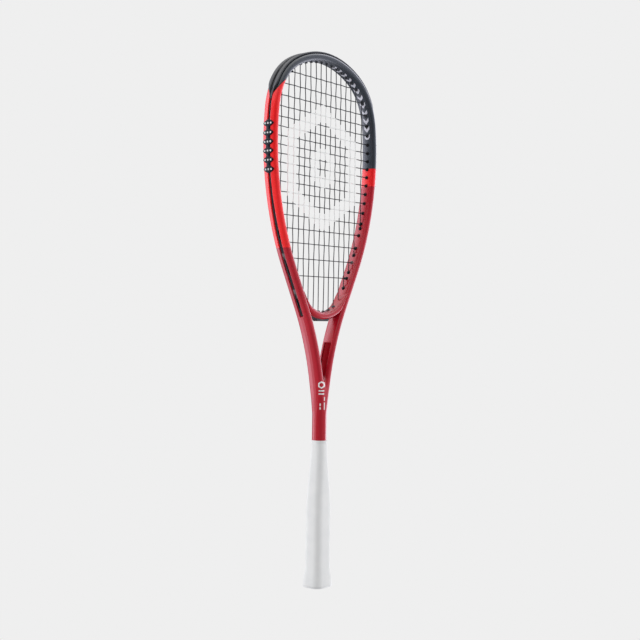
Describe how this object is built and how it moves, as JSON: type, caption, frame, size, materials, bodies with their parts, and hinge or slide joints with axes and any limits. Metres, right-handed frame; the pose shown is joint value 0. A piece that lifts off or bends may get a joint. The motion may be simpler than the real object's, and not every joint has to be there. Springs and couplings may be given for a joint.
{
  "type": "squash racket",
  "caption": "Strung squash racket with a rounded teardrop head, an open throat, a slim shaft and a white wrapped grip with a flared butt.",
  "frame": {"origin": "centre of the butt cap's flat end", "axes": "+Z from the butt to the head, X across the string bed, Y through it: the main strings lie on the +Y side"},
  "size_m": [0.214, 0.0306, 0.685],
  "materials": {
    "painted_laminate": "satin lacquer over carbon laminate, charcoal at the head, red and crimson below",
    "black_nylon": "moulded nylon, satin",
    "string": null,
    "foam": "moulded polyurethane foam, matte",
    "plug_foam": "closed-cell foam, matte",
    "cap_plastic": "moulded white plastic, satin",
    "staple_steel": "galvanised wire",
    "grip_tape": "white cushioned polyurethane tape, matte, fine grain",
    "collar_rubber": "white rubber, satin"
  },
  "bodies": {
    "root": {"frame": "painted_laminate", "throat_bridge": "painted_laminate", "bumper_guard": "black_nylon", "grommet_strip_left": "black_nylon", "grommet_strip_right": "black_nylon", "throat_grommet_strip": "black_nylon", "main_string": "string", "cross_string": "string", "tie_off_knots": "string", "handle_shell_front": "foam", "handle_shell_back": "foam", "shaft_end_plug": "plug_foam", "butt_cap": "cap_plastic", "butt_cap_staples": "staple_steel", "grip_wrap": "grip_tape", "grip_collar": "collar_rubber"}
  },
  "joints": []
}
